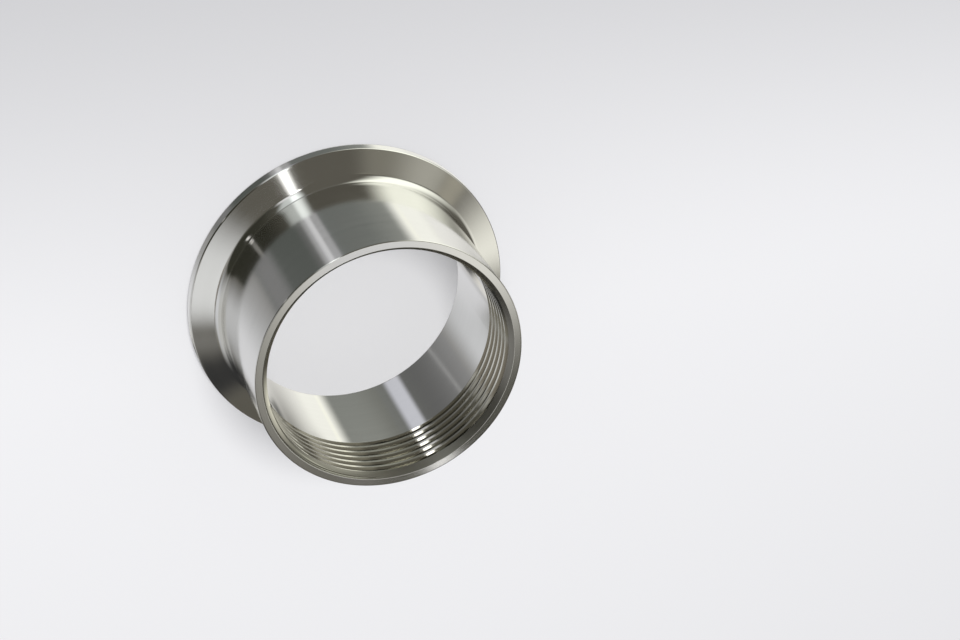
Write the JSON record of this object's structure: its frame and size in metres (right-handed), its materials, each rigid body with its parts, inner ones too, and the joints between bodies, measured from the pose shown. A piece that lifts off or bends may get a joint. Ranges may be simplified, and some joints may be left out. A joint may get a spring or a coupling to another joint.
{
  "type": "sanitary threaded ferrule",
  "caption": "Turned stainless steel pipe ferrule: a tapered sealing flange with a seal groove at one end, a straight body bored for a female pipe thread at the other.",
  "frame": {"origin": "centre of the sealing face, which the ferrule stands on", "axes": "+Z along the bore, from the sealing face to the threaded end; X and Y are free, because the solid is turned"},
  "size_m": [0.0775, 0.0774, 0.0381],
  "materials": {
    "stainless_steel": "polished, with fine turning marks"
  },
  "bodies": {
    "root": {"ferrule": "stainless_steel"}
  },
  "joints": []
}
